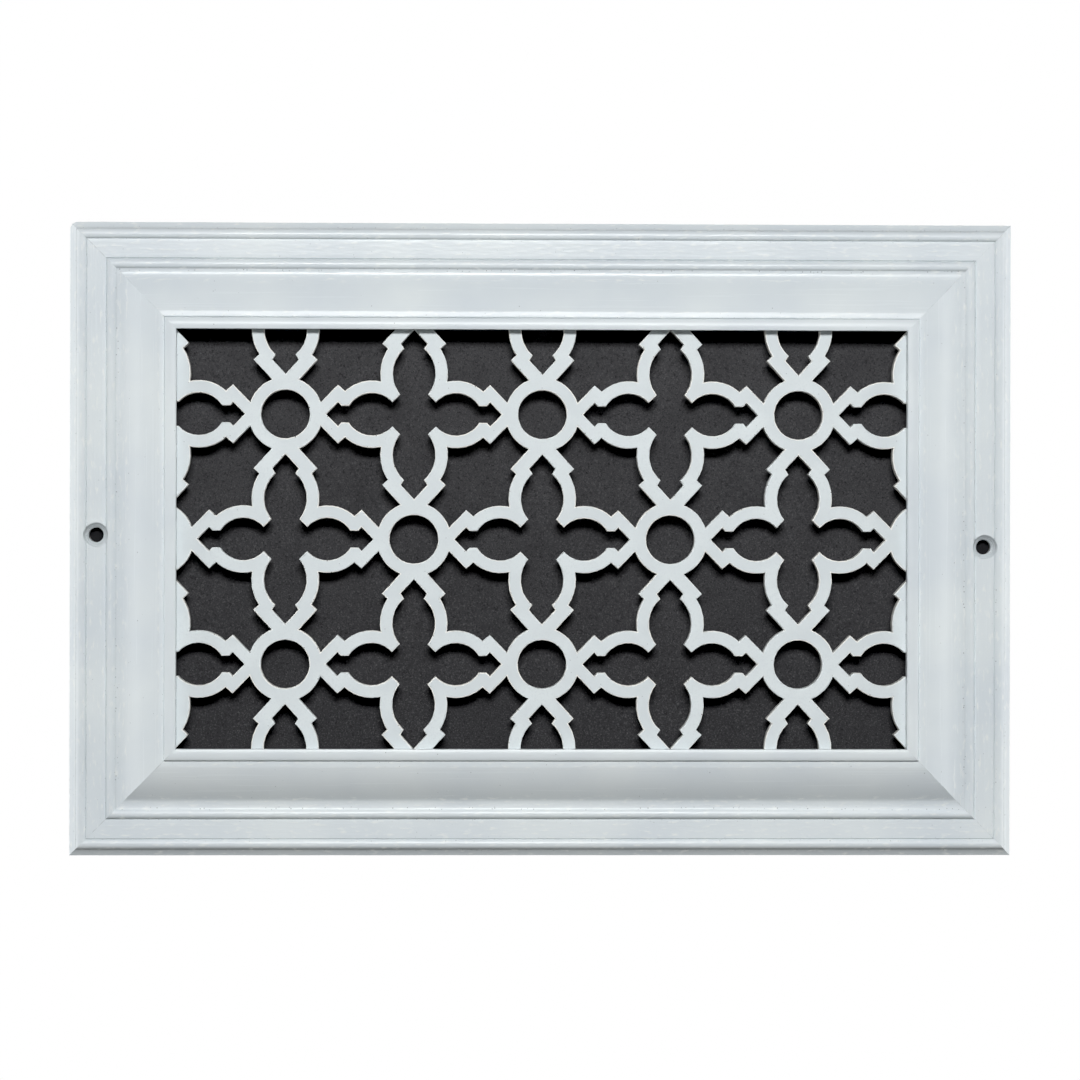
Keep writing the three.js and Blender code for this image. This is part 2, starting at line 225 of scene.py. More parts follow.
def tube_faces(stations, around):
    """Faces of closed rings set one after another: four-sided ones between rings, and one at each end."""
    here = np.arange(stations - 1)[:, None] * around + np.arange(around)[None, :]
    beside = np.arange(stations - 1)[:, None] * around + (np.arange(around)[None, :] + 1) % around
    sides = np.stack([here, beside, beside + around, here + around], axis=-1).reshape(-1, 4)
    first = np.arange(around)[::-1]
    last = np.arange(around) + (stations - 1) * around
    return [*sides.tolist(), first.tolist(), last.tolist()]


def store(thing, name, values):
    """Keeps one number for each vertex under a name that a material can read."""
    layer = thing.data.attributes.new(name, "FLOAT", "POINT")
    layer.data.foreach_set("value", np.asarray(values, dtype=np.float32).ravel())


# %% [markdown]
# Each rail is the section carried along a straight line. Every point of the section stops where its own
# distance from the outer edge meets the 45 degree mitre. The rails were sanded and painted by hand, so their
# faces rise and fall by a few hundredths of a millimetre, which is enough to make the light on them uneven. A
# few numbers are stored on every vertex for the paint to read, such as how near it is to a crease and how
# much it looks down.

# %% Waves and a worn corner
WAVELENGTHS = (83.0, 37.0, 17.0)
WORN_CORNER_RADIUS = 2.4


def slow_waves(along, across, seed):
    """From 0 to 1, slowly changing: three sines of unlike wavelengths along the rail, shifted across it."""
    random = np.random.default_rng(seed)
    total = np.zeros(np.broadcast(along, across).shape)
    for wavelength in WAVELENGTHS:
        shift, lean = random.uniform(0, 2 * math.pi, 2)
        total = total + np.sin(2 * math.pi * along / wavelength + shift + lean * across / 9)
    return 0.5 + total / (2 * len(WAVELENGTHS))


def worn_corner(place):
    """Rounds the upper left corner: inside a square at the corner, each point keeps its direction from the
    square's inner corner and moves in, so that squares about that point become circles."""
    centre = complex(-half_width + WORN_CORNER_RADIUS, half_height - WORN_CORNER_RADIUS)
    offset = place - centre
    inside = (offset.real < 0) & (offset.imag > 0)
    squareness = np.maximum(np.abs(offset.real), np.abs(offset.imag)) / np.maximum(np.abs(offset), 1e-9)
    return np.where(inside, centre + offset * squareness, place)


# %% Creases of the section
CREASE_SPREAD = [0.1, 0.2, 0.4, 0.2, 0.1]
FULL_CREASE = 1.2
CREASE_FROM = 0.4
CREASE_REACH, CREASE_FADE = 0.96, 0.6


def crease_of(loop):
    """From 0 to 1 where the surface is hollow: how fast the loop turns away from the solid, softened."""
    step = np.roll(loop, -1) - loop
    turning = np.angle(step / np.roll(step, 1)) / (np.abs(step) + np.abs(np.roll(step, 1)))
    padded = np.concatenate([turning[-2:], turning, turning[:2]])
    return np.clip(np.convolve(padded, CREASE_SPREAD, "valid") / FULL_CREASE, 0, 1)


crease = crease_of(section)
to_crease = np.abs(section[:, None] - section[crease > CREASE_FROM][None, :]).min(axis=1)
by_crease = np.clip((CREASE_REACH - to_crease) / CREASE_FADE, 0, 1)
tangent = np.roll(section, -1) - np.roll(section, 1)
rise = tangent.imag / np.abs(tangent)
print("points of the section in a crease:", int((crease > CREASE_FROM).sum()))


# %% One rail
MITRE_GAP = 0.02
STATION_SPACING = 2.0
WAVE_DEPTH = 0.05
STILL_HEIGHT = 1.0
EDGE_WIDTH = 1.0


def rail(name, length, outer_edge, quarter_turns, seed):
    """The section carried along a line. The line's share from -1 to 1 is multiplied by each section point's
    own half length, so the ends are mitred, and powers of the imaginary unit turn the rail to its side."""
    stations = int(length / STATION_SPACING)
    share = np.linspace(-1, 1, stations)[:, None]
    across, height = section.real[None, :], section.imag[None, :]
    along = share * (length / 2 - across - MITRE_GAP / 2)
    waves = WAVE_DEPTH * slow_waves(along, across, seed)
    low_height = height - waves * np.clip(height - STILL_HEIGHT, 0, 1)
    turned = 1j**quarter_turns
    place = worn_corner((along + 1j * (across + waves * (across < EDGE_WIDTH) - outer_edge)) * turned)
    points = np.stack([place.real, -sheet_front - low_height, place.imag], axis=-1).reshape(-1, 3)
    thing = mesh_object(name, points, tube_faces(stations, len(section)))
    numbers = {
        "along": along * MM,
        "across": across * MM,
        "height": height * MM,
        "from_joint": (1 - np.abs(share)) * (length / 2 - across) * MM,
        "crease": crease,
        "by_crease": by_crease,
        "underside": np.clip(rise * turned.real, 0, 1),
        "hole_shade": 0.0,
    }
    for key, values in numbers.items():
        store(thing, key, np.broadcast_to(values, place.shape))
    return thing


# %% Four rails
rails = {
    "frame_bottom": rail("rail_bottom", 2 * half_width, half_height, 0, 1),
    "frame_right": rail("rail_right", 2 * half_height, half_width, 1, 2),
    "frame_top": rail("rail_top", 2 * half_width, half_height, 2, 3),
    "frame_left": rail("rail_left", 2 * half_height, half_width, 3, 4),
}
print("rails:", {piece.name: len(piece.data.polygons) for piece in rails.values()})

# %% [markdown]
# A screw hole was drilled and countersunk by hand in the flat band of each side rail, one a little higher
# than the other. The countersink is shallow, with a steep rim and two fine ridges that the bit left on its
# cone. The cutter is turned like a spindle, with a rim that wanders slightly, and taken away from the rail.
# The numbers that the paint reads are then set again round the hole, where the cut has left new vertices. One
# of them is painted shade: it darkens the countersink, most of all under the upper part of the rim.

# %% Cutter for a screw hole
BORE_RADIUS = 2.5
RIM_RADIUS = 4.2
CONE_FOOT, CONE_TOP = 3.4, 4.15
RIM_SLOPE = 0.45
RIDGE_PLACES = np.array([0, 0.3, 0.4, 0.66, 0.76, 1])
RIDGE_HEIGHTS = 0.09 * np.array([0, 1, -1, 1, -1, 0])
CUTTER_FOOT, CUTTER_TOP = -2, 14
HOLE_STEPS = 96


def hole_cutter(x, z, drift, seed):
    """A turned shape: each pair of radius and height is swept round, and the radius wavers by a few
    hundredths. The bore's own two rings are set aside from the rest by the drift."""
    cone_height = CONE_FOOT + (CONE_TOP - CONE_FOOT) * RIDGE_PLACES + RIDGE_HEIGHTS
    cone_radius = BORE_RADIUS + (RIM_RADIUS - RIM_SLOPE - BORE_RADIUS) * RIDGE_PLACES
    radius = np.array([BORE_RADIUS, *cone_radius, RIM_RADIUS, RIM_RADIUS + 0.02])
    height = np.array([CUTTER_FOOT, *cone_height, SCREW_BAND_HEIGHT, CUTTER_TOP])
    angle = np.linspace(0, 2 * math.pi, HOLE_STEPS, endpoint=False)
    random = np.random.default_rng(seed)
    waver = 1 + 0.008 * np.sin(3 * angle + random.uniform(0, 6))
    waver = waver + 0.005 * np.sin(7 * angle + random.uniform(0, 6))
    ring = radius[:, None] * waver[None, :] * np.exp(1j * angle[None, :])
    ring[:2] += drift
    level = np.broadcast_to(-sheet_front - height[:, None], ring.shape)
    points = np.stack([x + ring.real, level, z + ring.imag], axis=-1).reshape(-1, 3)
    return mesh_object("hole_cutter", points, tube_faces(len(radius), HOLE_STEPS))


# %% Painted shade and fresh numbers round a hole
RESET_MARGIN = 0.1
FAR_FROM_JOINT = 50.0
# Shares of painted shade in a countersink.
CONE_SHADE, UPPER_SHADE, RIM_SHADE = 0.5, 0.35, 0.5
RIM_SHADE_FROM = 3.6


def hole_shade_at(offset, height):
    """Painted shade, from 0 to 1: a part everywhere in the countersink, one that grows upwards, and one under
    the upper rim. The flat band round it gets none."""
    reach = np.abs(offset)
    above = offset.imag / np.maximum(reach, 0.01)
    under_rim = (reach > RIM_SHADE_FROM) * np.clip(above + 0.6, 0, 1)
    hole_shade = np.clip(CONE_SHADE + UPPER_SHADE * above + RIM_SHADE * under_rim, 0, 1)
    return np.where(height < SCREW_BAND_HEIGHT - 0.05, hole_shade, 0)


def renumber(mesh, x, z):
    """Sets the stored numbers of every vertex within a ring about a hole: its height is read off its place,
    and it lies far from any crease or joint."""
    place = np.empty(3 * len(mesh.vertices), dtype=np.float32)
    mesh.vertices.foreach_get("co", place)
    place = place.reshape(-1, 3) / MM
    offset = place[:, 0] - x + 1j * (place[:, 2] - z)
    height = -sheet_front - place[:, 1]
    near = np.abs(offset) < RIM_RADIUS + RESET_MARGIN
    fresh = {"height": height * MM, "from_joint": FAR_FROM_JOINT * MM, "crease": 0.0, "by_crease": 0.0,
             "underside": 0.0, "hole_shade": hole_shade_at(offset, height)}
    for name, value in fresh.items():
        layer = mesh.attributes[name].data
        kept = np.empty(len(place), dtype=np.float32)
        layer.foreach_get("value", kept)
        layer.foreach_set("value", np.where(near, value, kept).astype(np.float32))


# %% Drilled rails
LEFT_HOLE_RISE = 1.3
RIGHT_HOLE_DROP = 2.3
RIGHT_BORE_DRIFT = -0.35
RAIL_SHARP_ANGLE = math.radians(38)
screw_inset = (band_edges[SCREW_BAND] + band_edges[SCREW_BAND + 1]) / 2


def drill(piece, x, z, drift, seed):
    """Takes the hole out of the piece and sets the stored numbers round it."""
    cutter = hole_cutter(x, z, drift, seed)
    cut = piece.modifiers.new("drill", "BOOLEAN")
    cut.operation = "DIFFERENCE"
    cut.solver = "EXACT"
    cut.object = cutter
    depsgraph = bpy.context.evaluated_depsgraph_get()
    result = bpy.data.meshes.new_from_object(piece.evaluated_get(depsgraph))
    piece.modifiers.clear()
    piece.data = result
    bpy.data.objects.remove(cutter)
    renumber(result, x, z)


drill(rails["frame_left"], -half_width + screw_inset, LEFT_HOLE_RISE, 0, 5)
drill(rails["frame_right"], half_width - screw_inset, -RIGHT_HOLE_DROP, RIGHT_BORE_DRIFT, 6)
for piece in rails.values():
    piece.data.shade_smooth()
    piece.data.set_sharp_from_angle(angle=RAIL_SHARP_ANGLE)
print("rails after drilling:", {piece.name: len(piece.data.polygons) for piece in rails.values()})

# %% [markdown]
# The grille's pattern repeats on a grid: quatrefoils and rings take turns, and star-shaped openings fill the
# space between them. The outlines follow from a few widths. Each lobe of a quatrefoil swells from a cusp,
# narrows at a notch and ends in an arrow tip that points at a ring.

# %% Sizes of the grille's pattern
PITCH_X, PITCH_Z = 43.1, 41.95
STRAP_WIDTH, RING_HOLE_RADIUS, RING_WIDTH = 4.2, 8.15, 4.3
WINDOW_MARGIN = 1.1
ring_radius = RING_HOLE_RADIUS + RING_WIDTH
UPRIGHT_LOBE = dict(tip_gap=1.0, flank=4.8, tip=4.4, notch_length=1.7, notch=3.3, flat=0.0, belly=7.1,
                    cusp=6.7 + 4.65j, flank_strap=4.65)
LEVEL_LOBE = dict(tip_gap=1.2, flank=3.9, tip=4.0, notch_length=1.1, notch=2.8, flat=2.6, belly=7.1,
                  cusp=7.3 + 4.05j, flank_strap=4.1)
ARC_STEPS, RING_EDGE_STEPS, RING_STEPS = 14, 6, 72


# %% Points of a lobe
def circle_through(a, b, c):
    """Centre and radius of the circle through three points, from where the chords' upright bisectors meet."""
    ab, ac = b - a, c - a
    cross = (ab.conjugate() * ac).imag
    centre = a + 1j * (ac * abs(ab) ** 2 - ab * abs(ac) ** 2) / (-2 * cross)
    return centre, abs(centre - a)


def lobe_plan(lobe, pitch):
    """The named points of a lobe: along its axis is real, out from the axis is imaginary."""
    tip = pitch - ring_radius - lobe["tip_gap"] + 0j
    shoulder = tip.real - lobe["flank"] + 1j * lobe["tip"]
    notch = shoulder.real - lobe["notch_length"] + 1j * lobe["notch"]
    foot = notch - lobe["flat"]
    belly = (foot.real + lobe["cusp"].real) / 2 + 1j * lobe["belly"]
    centre, radius = circle_through(foot, belly, lobe["cusp"])
    strap_side = radius + STRAP_WIDTH
    flank = (shoulder - tip) / abs(shoulder - tip)
    outer_along = (foot.real + notch.real) / 2
    strap_height = centre.imag + math.sqrt(strap_side**2 - (outer_along - centre.real) ** 2)
    outer_foot = outer_along + 1j * strap_height
    beside_tip = tip - 1j * flank * lobe["flank_strap"]
    outer_shoulder = beside_tip + flank * (shoulder.real - beside_tip.real) / flank.real
    offset = outer_shoulder - pitch
    ahead = (offset.conjugate() * flank).real
    half = math.sqrt(ring_radius**2 - abs(offset) ** 2 + ahead**2)
    ring_corner = outer_shoulder - flank * (ahead - half)
    return dict(tip=tip, shoulder=shoulder, notch=notch, foot=foot, cusp=lobe["cusp"], centre=centre,
                strap_side=strap_side, outer_foot=outer_foot, outer_shoulder=outer_shoulder,
                ring_corner=ring_corner)


def swapped(points):
    """Swaps the two coordinates, which turns a level lobe into an upright one."""
    return 1j * np.conj(points)


upright = lobe_plan(UPRIGHT_LOBE, PITCH_Z)
level = lobe_plan(LEVEL_LOBE, PITCH_X)
print("tips of the lobes at", round(level["tip"].real, 2), "and", round(upright["tip"].real, 2), "mm")


# %% Outlines of the openings
def lobe_side(plan):
    """From the cusp over the belly and the notch to the tip."""
    belly = arc(plan["centre"], plan["cusp"], plan["foot"], ARC_STEPS)
    notch = [plan["notch"]] if plan["notch"] != plan["foot"] else []
    return np.concatenate([belly, notch, [plan["shoulder"], plan["tip"]]])


def quatrefoil():
    """A quarter from the upper tip to the right tip, and its three reflections."""
    quarter = np.concatenate([swapped(lobe_side(upright))[::-1], lobe_side(level)])
    lower = np.conj(quarter)[::-1][1:]
    return np.concatenate([quarter, lower, -quarter[1:], -np.conj(quarter)[::-1][1:-1]])


def lone_lobe(plan):
    """One lobe, run on to the quatrefoil's centre."""
    half = np.concatenate([[1j * plan["cusp"].imag], lobe_side(plan)])
    return np.concatenate([half, np.conj(half[:-1])[::-1]])


# %% Outline of a star
def circles_crossing(a, radius_a, b, radius_b):
    """Where two circles cross, on the side away from the origin."""
    gap = abs(b - a)
    along = (gap**2 + radius_a**2 - radius_b**2) / (2 * gap)
    aside = 1j * math.sqrt(radius_a**2 - along**2)
    both = a + (b - a) / gap * np.array([along + aside, along - aside])
    return both[np.argmax(np.abs(both))]


def star():
    """Half an outline along the outer edges of two lobes' straps and round a ring, then the same turned by
    half a turn about the middle of the grid's cell."""
    upright_centre = swapped(upright["centre"])
    corner = circles_crossing(upright_centre, upright["strap_side"], level["centre"], level["strap_side"])
    straps = np.concatenate([
        [swapped(upright["outer_shoulder"])],
        arc(upright_centre, swapped(upright["outer_foot"]), corner, ARC_STEPS),
        arc(level["centre"], corner, level["outer_foot"], ARC_STEPS)[1:],
        [level["outer_shoulder"]],
    ])
    across_cell = PITCH_X + 1j * PITCH_Z
    far_corner = across_cell - swapped(upright["ring_corner"])
    ring_edge = arc(PITCH_X, level["ring_corner"], far_corner, RING_EDGE_STEPS)
    half = np.concatenate([straps, ring_edge]) - across_cell / 2
    return np.concatenate([half, -half])


def ring_hole():
    return RING_HOLE_RADIUS * np.exp(2j * math.pi * np.arange(RING_STEPS) / RING_STEPS)


# %% [markdown]
# The openings are set out over the window, as far as the lip hides their ends. A quatrefoil whose centre is
# under the frame shows only the lobe that reaches in.

# %% Openings in their places
window_half_width = half_width - rail_width + WINDOW_MARGIN
window_half_height = half_height - rail_width + WINDOW_MARGIN


def openings():
    """Every opening, column by column and row by row. Where the column and row add up to an even number there
    is a quatrefoil, otherwise a ring, and every second star is mirrored."""
    columns = range(-math.ceil(window_half_width / PITCH_X), math.ceil(window_half_width / PITCH_X) + 1)
    rows = range(-math.ceil(window_half_height / PITCH_Z), math.ceil(window_half_height / PITCH_Z) + 1)
    found = []
    for column, row in ((column, row) for column in columns for row in rows):
        centre = complex(column * PITCH_X, row * PITCH_Z)
        even = (column + row) % 2 == 0
        inside_x = abs(centre.real) < window_half_width
        inside_z = abs(centre.imag) < window_half_height
        if inside_x and inside_z:
            found.append(centre + (quatrefoil() if even else ring_hole()))
        elif even and inside_z:
            found.append(centre - np.sign(column) * lone_lobe(level))
        elif even and inside_x:
            found.append(centre - np.sign(row) * swapped(lone_lobe(upright)))
        cell = centre + (PITCH_X + 1j * PITCH_Z) / 2
        if abs(cell.real) < window_half_width and abs(cell.imag) < window_half_height:
            found.append(cell + (star() if even else -np.conj(star())))
    return found


outlines = openings()
print("openings:", len(outlines))

# %% [markdown]
# The panel was cut from thin board and painted. The front could be cut with booleans, but a triangulation
# that keeps the outlines is cleaner: every triangle knows which outlines it lies in, and the ones inside an
# opening are left out. The edges that remain are then carried back through the thickness, with a small
# rounded arris where the paint goes over the edge.

# %% Loops in short steps
CUT_WANDER = 0.035


def rectangle(half_x, half_z):
    return np.array([-half_x, half_x, half_x, -half_x]) + 1j * np.array([-half_z, -half_z, half_z, half_z])


def subdivided(loop, step):
    """Each side of a closed loop is cut into even parts no longer than about step."""
    after = np.roll(loop, -1)
    parts = np.maximum(1, np.round(np.abs(after - loop) / step)).astype(int)
    side = np.repeat(np.arange(len(loop)), parts)
    share = (np.arange(parts.sum()) - np.repeat(np.cumsum(parts) - parts, parts)) / parts[side]
    return loop[side] + share * (after - loop)[side]


def anticlockwise(loop):
    """The loop turned round if the area under it comes out negative."""
    area = np.sum(np.conj(loop) * np.roll(loop, -1)).imag
    return loop if area > 0 else loop[::-1]


def wandering(points):
    """A small sideways wander that depends on the place alone, so that shared points stay together."""
    x, z = points.real, points.imag
    return CUT_WANDER * (np.sin(1.7 * x + 2.3 * z) + 1j * np.sin(2.9 * x - 1.3 * z + 1))


# %% Triangles and their rim
CORNER_LIMIT = 0.35


def triangulated(loops):
    """The points, and the triangles in the first loop, the plate, that lie in no opening. The second loop is
    the window, and an opening counts only inside it."""
    starts = np.cumsum([0, *map(len, loops)])
    rings = [list(range(start, end)) for start, end in zip(starts, starts[1:])]
    corners = [Vector((point.real, point.imag)) for point in np.concatenate(loops)]
    made = delaunay_2d_cdt(corners, [], rings, 1, 1e-6)
    place = np.array([complex(*point) for point in made[0]])
    kept = [0 in parents and not (1 in parents and max(parents) > 1) for parents in made[5]]
    return place, np.array(made[2])[kept]


def rim_of(place, triangles):
    """The rim points, which one follows each, and how far each moves for an inset of one: the sum of its two
    sides' normals, over one plus the cosine between them, so that each side keeps its distance."""
    sides = np.concatenate([triangles[:, [0, 1]], triangles[:, [1, 2]], triangles[:, [2, 0]]])
    code = sides @ [len(place), 1]
    border = sides[~np.isin(code, sides @ [1, len(place)])]
    ahead, behind, rank = (np.zeros(len(place), int) for _ in range(3))
    ahead[border[:, 0]] = border[:, 1]
    behind[border[:, 1]] = border[:, 0]
    rim = border[:, 0]
    rank[rim] = np.arange(len(rim))
    to_next = place[ahead[rim]] - place[rim]
    from_last = place[rim] - place[behind[rim]]
    normal_next = 1j * to_next / np.abs(to_next)
    normal_last = 1j * from_last / np.abs(from_last)
    together = np.maximum(1 + (normal_next * np.conj(normal_last)).real, CORNER_LIMIT)
    return rim, rank[ahead[rim]], (normal_next + normal_last) / together


# %% Pierced panel
CUT_STEP, PLATE_STEP = 0.8, 8.0
ARRIS = 0.28
EDGE_ZONE = 0.6
PANEL_CLEARANCE = 0.2
PANEL_SHARP_ANGLE = math.radians(30)


def edge_levels(thickness):
    """Inset and depth of each ring of points: the flat front's edge, a quarter circle, and another at the
    back."""
    quarter = np.radians([0, 22.5, 45, 67.5, 90])
    inset = np.concatenate([[EDGE_ZONE], ARRIS * (1 - np.sin(quarter)), ARRIS * (1 - np.cos(quarter))])
    depth = np.concatenate([[0], ARRIS * (1 - np.cos(quarter)), thickness - ARRIS * (1 - np.sin(quarter))])
    return inset, depth


def pierced_panel(name):
    """A triangulated front, the same again at the back, and rings of four-sided faces between them."""
    hidden = rail_width - REBATE_WIDTH + PANEL_CLEARANCE
    plate = subdivided(rectangle(half_width - hidden, half_height - hidden), PLATE_STEP)
    window = rectangle(window_half_width, window_half_height)
    cuts = [subdivided(anticlockwise(loop), CUT_STEP) for loop in outlines]
    place, triangles = triangulated([plate, window, *(loop + wandering(loop) for loop in cuts)])
    rim, following, inward = rim_of(place, triangles)

    thickness = panel_front - panel_back
    inset, depth = edge_levels(thickness)
    walls = place[rim] + inset[1:-1, None] * inward
    front, back = place.copy(), place.copy()
    front[rim] += inset[0] * inward
    back[rim] += inset[-1] * inward
    flat = np.concatenate([front, walls.ravel(), back])
    wall_depths = np.repeat(depth[1:-1], len(rim))
    depths = np.concatenate([np.zeros(len(place)), wall_depths, np.full(len(place), thickness)])
    points = np.stack([flat.real, -panel_front + depths, flat.imag], axis=-1)

    first_wall = len(place)
    last_wall = first_wall + walls.size
    levels = [rim, *(first_wall + np.arange(walls.size).reshape(walls.shape)), last_wall + rim]
    bands = [np.stack([a, b, b[following], a[following]], axis=-1) for a, b in zip(levels, levels[1:])]
    back_triangles = triangles[:, ::-1] + last_wall
    faces = [*triangles.tolist(), *back_triangles.tolist(), *np.concatenate(bands).tolist()]
    thing = mesh_object(name, points, faces)
    near_edge = np.zeros(len(points))
    near_edge[first_wall:last_wall] = 1
    store(thing, "cut_edge", near_edge)
    store(thing, "depth", depths * MM)
    return thing


panel = pierced_panel("pierced_panel")
panel.data.shade_smooth()
panel.data.set_sharp_from_angle(angle=PANEL_SHARP_ANGLE)
print("panel:", len(panel.data.polygons), "faces")

# %% [markdown]
# The felt is cut a little smaller than the frame and held flat behind it. A sheet that size is never quite
# flat, so it dips back by up to a third of a millimetre between the straps. One layer is made, and Solidify
# gives it its thickness.

# %% Felt sheet
FELT_SPACING = 2.5
FELT_DIP = 0.3
FELT_FADE = 8.0
felt_low, felt_high = (np.array(corner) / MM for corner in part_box("filter_sheet"))


def felt_sheet(name):
    """A grid over the sheet. Its depth is a product of slow sines, fading to nothing at the edges."""
    across = np.linspace(felt_low[0], felt_high[0], int((felt_high[0] - felt_low[0]) / FELT_SPACING))
    up = np.linspace(felt_low[2], felt_high[2], int((felt_high[2] - felt_low[2]) / FELT_SPACING))
    x, z = np.meshgrid(across, up, indexing="ij")
    waves = 0.5 + 0.25 * np.sin(x / 11 + np.sin(z / 17)) + 0.25 * np.sin(z / 9 + 2 * np.sin(x / 23))
    fade_x = np.clip((half_width - rail_width - np.abs(x)) / FELT_FADE, 0, 1)
    fade_z = np.clip((half_height - rail_width - np.abs(z)) / FELT_FADE, 0, 1)
    y = -sheet_front + FELT_DIP * waves * (fade_x * fade_z)
    points = np.stack([x, y, z], axis=-1).reshape(-1, 3)
    index = np.arange(x.size).reshape(x.shape)
    faces = np.stack([index[:-1, :-1], index[1:, :-1], index[1:, 1:], index[:-1, 1:]], axis=-1).reshape(-1, 4)
    mesh = bpy.data.meshes.new(name)
    mesh.from_pydata(points * MM, [], faces.tolist())
    mesh.shade_smooth()
    thing = bpy.data.objects.new(name, mesh)
    bpy.context.scene.collection.objects.link(thing)
    wall = thing.modifiers.new("thickness", "SOLIDIFY")
    wall.thickness = (sheet_front - FELT_DIP) * MM
    wall.offset = -1
    return thing


felt = felt_sheet("felt_sheet")
print("felt:", len(felt.data.polygons), "faces before it gets its thickness")

# %% [markdown]
# Materials. Colours are written as they look on a screen and turned to linear light by one function. One
# small function adds a node, sets it and links it. A finish is built up as a painter would do it: a ground
# colour, and coats over it that are each laid on through a mask. A mask is a product of patterns, each
# stretched to run between two values.

# %% Colours and nodes
def colour(hex_code):
    """A screen colour as linear light, channel by channel."""
    screen = np.array([int(hex_code[i:i + 2], 16) for i in (0, 2, 4)]) / 255
    linear = np.where(screen <= 0.04045, screen / 12.92, ((screen + 0.055) / 1.055) ** 2.4)
    return (*linear.tolist(), 1.0)


def add(tree, kind, inputs=None, output=0, **settings):
    """One output of a new node. An input that is given a socket is linked to it, any other value is set."""
    made = tree.nodes.new(kind)
    for name, value in settings.items():
        setattr(made, name, value)
    for name, value in (inputs or {}).items():
        if isinstance(value, bpy.types.NodeSocket):
            tree.links.new(value, made.inputs[name])
        else:
            made.inputs[name].default_value = value
    return made.outputs[output] if made.outputs else made


def stored(tree, name):
    return add(tree, "ShaderNodeAttribute", None, "Fac", attribute_name=name)


def noise(tree, place, size, detail, **more):
    """A cloudy pattern of about the given size in millimetres."""
    inputs = {"Vector": place, "Scale": 1 / (size * MM), "Detail": detail, **more}
    return add(tree, "ShaderNodeTexNoise", inputs)


def new_material(name):
    made = bpy.data.materials.new(name)
    made.use_nodes = True
    made.node_tree.nodes.clear()
    return made, made.node_tree


# %% Masks, coats and relief
STRETCH = ("Value", "From Min", "From Max", "To Min", "To Max")


def mask(tree, *parts):
    """The product of its parts. A part in brackets is a value and two levels of it, which become 0 and 1 or
    the two results that follow. Beyond them it stays."""
    product = None
    for part in parts:
        if isinstance(part, tuple):
            part = add(tree, "ShaderNodeMapRange", dict(zip(STRETCH, part)))
        if product is None:
            product = part
        else:
            product = add(tree, "ShaderNodeMath", {0: product, 1: part}, operation="MULTIPLY")
    return product


def coated(tree, ground, coats):
    """The ground colour under its coats, lowest first. Each coat is a mask and the colour laid on through
    it."""
    for cover, tone in coats:
        ground = add(tree, "ShaderNodeMix", {0: cover, 6: ground, 7: tone}, 2, data_type="RGBA")
    return ground


def embossed(tree, reliefs):
    """The surface's direction, bent by each relief in turn: a pattern, its depth in millimetres, its
    strength."""
    inputs = {}
    for pattern, depth, strength in reliefs:
        inputs.update({"Height": pattern, "Distance": depth * MM, "Strength": strength})
        inputs["Normal"] = add(tree, "ShaderNodeBump", inputs)
    return inputs["Normal"]


def covered_with(tree, surface, roughness, shine, normal):
    """Gives the material its surface, from its colour, roughness, shine and relief."""
    inputs = {"Base Color": surface, "Roughness": roughness, "IOR": 1.5, "Specular IOR Level": shine,
              "Normal": normal}
    shader = add(tree, "ShaderNodeBsdfPrincipled", inputs)
    add(tree, "ShaderNodeOutputMaterial", {"Surface": shader})


def speckles(tree, where, spacing, radius, share):
    """Dots of about one radius, one for each cell of a Voronoi pattern, but only in the given share of the
    cells. The red and green of a cell's random colour draw whether it has a dot, and how large."""
    cell = add(tree, "ShaderNodeTexVoronoi", {"Vector": where, "Scale": 1 / (spacing * MM)}, "Color")
    draw = add(tree, "ShaderNodeSeparateColor", {0: cell})
    size = mask(tree, (draw.node.outputs[1], 0.0, 1.0, 0.4 * radius / spacing, 1.6 * radius / spacing))
    distance = cell.node.outputs["Distance"]
    ratio = add(tree, "ShaderNodeMath", {0: distance, 1: size}, operation="DIVIDE")
    return mask(tree, (ratio, 1.15, 0.75), (draw, 1 - share, 1 - share + 0.02))


# %% [markdown]
# The rails have a satin alkyd paint, laid on with a brush along each rail. It is a cool white, smooth enough
# for a crisp highlight on the beads, with faint streaks from the bristles, a few grains caught in the film,
# and pinholes. The hollows are a little darker, with a trace of dust and painted shade. On the narrow
# shoulder the film has pulled into small runs, which carry lighter dapples of painted highlight, and at the
# mitres it has cracked in a few places. Faces that look down are a little greyer with painted shade, and the
# countersinks are darkened by painted shade, most under the upper rim. The lip and the shoulder, which hands
# and cloths reach first, are rubbed duller than the rest.

# %% Patterns of the satin paint
RAIL_NUMBERS = ("along", "across", "height", "from_joint", "crease", "by_crease", "underside", "hole_shade")
BRISTLES_PER_METRE = (22.0, 1100.0, 1.0)
RUNS_PER_METRE = (260.0, 900.0, 1.0)
CLOUD_SIZE, PEEL_SIZE, CRACK_SIZE, SEAM_SIZE = 38.0, 1.1, 4.0, 1.3
SHOULDER_FOOT, SHOULDER_TOP = (11.9 * MM, 12.3 * MM), (13.2 * MM, 12.7 * MM)
LOW_BANDS = (7.4 * MM, 6.4 * MM)


